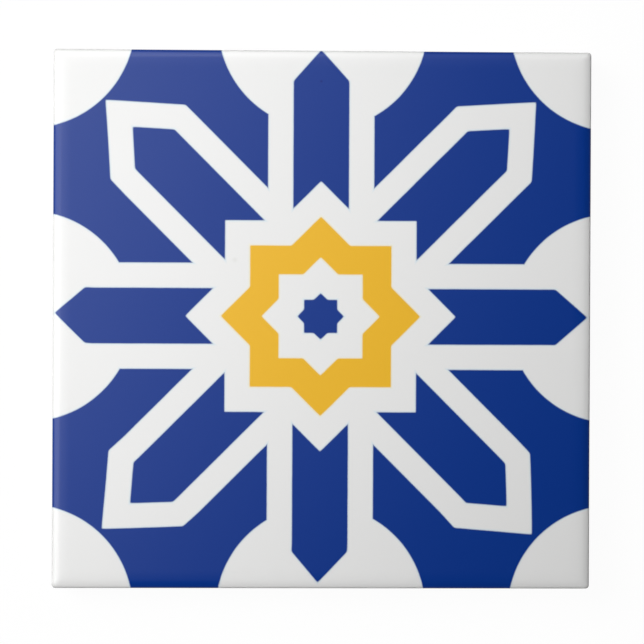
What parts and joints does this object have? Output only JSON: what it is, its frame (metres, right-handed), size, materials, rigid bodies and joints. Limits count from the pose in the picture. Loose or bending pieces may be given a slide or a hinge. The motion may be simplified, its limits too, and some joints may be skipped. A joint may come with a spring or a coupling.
{
  "type": "glazed ceramic wall tile",
  "caption": "Square glazed ceramic wall tile with a soft rolled edge, a geometric star pattern in blue, yellow and white, and a waffle back that keys into adhesive.",
  "frame": {"origin": "middle of the back, on the plane that the tile lies on", "axes": "+Z points out of the glazed face; +X and +Y run along the sides, with +Y towards the edge that is uppermost in the picture"},
  "size_m": [0.108, 0.108, 0.0064],
  "materials": {
    "glazed_body": "gloss white glaze with a cobalt blue and golden yellow printed pattern on the face; bare pale biscuit on the sides and back"
  },
  "bodies": {
    "root": {"tile": "glazed_body"}
  },
  "joints": []
}
